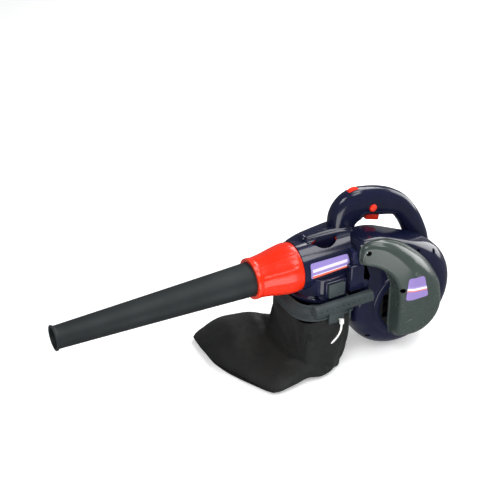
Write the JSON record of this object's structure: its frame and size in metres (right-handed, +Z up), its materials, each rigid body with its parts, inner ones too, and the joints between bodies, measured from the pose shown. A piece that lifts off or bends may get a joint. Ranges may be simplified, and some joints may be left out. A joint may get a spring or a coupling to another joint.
{
  "type": "leaf blower",
  "caption": "Corded garden leaf blower and vacuum with a long tapered nozzle, round fan housing, bow handle, side intake cover and a fabric leaf bag.",
  "frame": {"origin": "middle of the bottom of the bounding box, on the surface the blower stands on", "axes": "+Z up, the nozzle points along -X, the air intake faces -Y"},
  "size_m": [0.8138, 0.271, 0.345],
  "materials": {
    "housing": "glossy moulded ABS, dark navy",
    "cover": "glossy moulded ABS, grey-green",
    "collar": "satin moulded polypropylene, dark grey",
    "tube": "matte blown polypropylene, charcoal",
    "adapter": "glossy moulded ABS, orange-red",
    "black_plastic": "satin glass-filled nylon, black",
    "bag": "woven polyester, black",
    "tie": "natural nylon, white",
    "label": "printed vinyl, lavender",
    "rubber": "soft moulded rubber, black",
    "steel": "zinc plated steel",
    "core": "laminated iron with copper windings",
    "brass": "stamped copper and brass",
    "carbon": "pressed carbon",
    "capacitor": "dipped resin, amber"
  },
  "bodies": {
    "body": {"housing_near": "housing", "housing_far": "housing", "leaf_port": "housing", "latch_pin": "steel", "intake_cover": "cover", "intake_grille": "black_plastic", "motor_plate": "black_plastic", "bearing_near": "steel", "bearing_far": "steel", "motor_stator": "core", "brush_front": "carbon", "brush_rear": "carbon", "brush_holder_front": "brass", "brush_holder_rear": "brass", "motor_cover": "housing", "trigger_spring": "steel", "switch_body": "black_plastic", "dial_control": "black_plastic", "suppressor_capacitor": "capacitor", "cord_gland": "rubber", "cover_label": "label", "shell_screw_1": "steel", "shell_screw_2": "steel", "shell_screw_3": "steel", "shell_screw_4": "steel", "shell_screw_5": "steel", "shell_screw_6": "steel", "cover_screw_1": "steel", "cover_screw_2": "steel", "port_screw": "steel"},
    "fan": {"fan_impeller": "black_plastic", "fan_nut": "steel", "motor_shaft": "steel", "motor_armature": "core", "commutator": "brass"},
    "trigger": {"trigger": "adapter"},
    "lock_button": {"lock_button": "adapter"},
    "speed_dial": {"speed_dial": "adapter"},
    "bag_latch": {"bag_latch": "collar"},
    "adapter": {"tube_adapter": "adapter", "outlet_seal": "rubber"},
    "nozzle": {"nozzle_tube": "tube"},
    "bag": {"bag_collar": "collar", "collection_bag": "bag", "cable_tie": "tie"}
  },
  "joints": [
    {"name": "fan_spin", "type": "hinge", "parent": "body", "child": "fan", "pos_m": [0.27043, -0.0295, 0.1155], "axis": [0, 1, 0], "continuous": true},
    {"name": "trigger_pull", "type": "slide", "parent": "body", "child": "trigger", "axis": [0, 0, 1], "range_m": [0, 0.005], "stiffness_N_per_m": 300, "springref_m": -0.005, "deforming": ["trigger_spring"]},
    {"name": "lock_button_press", "type": "slide", "parent": "body", "child": "lock_button", "axis": [0, 1, 0], "range_m": [0, 0.003], "stiffness_N_per_m": 300, "springref_m": -0.003},
    {"name": "speed_dial_turn", "type": "hinge", "parent": "body", "child": "speed_dial", "pos_m": [0.18843, -0.0145, 0.327], "axis": [0, 1, 0], "range_deg": [-135, 135]},
    {"name": "bag_latch_press", "type": "hinge", "parent": "body", "child": "bag_latch", "pos_m": [0.11143, -0.0895, 0.2005], "axis": [-1, 0, 0], "range_deg": [0, 12], "stiffness_Nm_per_rad": 0.3, "springref_deg": -11.46},
    {"name": "adapter_twist", "type": "hinge", "parent": "body", "child": "adapter", "pos_m": [0.01543, -0.0295, 0.2235], "axis": [1, 0, 0], "range_deg": [0, 30]},
    {"name": "tube_pull", "type": "slide", "parent": "adapter", "child": "nozzle", "axis": [-1, 0, 0], "range_m": [0, 0.02]},
    {"name": "bag_slide", "type": "slide", "parent": "body", "child": "bag", "axis": [-1, 0, 0], "range_m": [0, 0.1]}
  ]
}
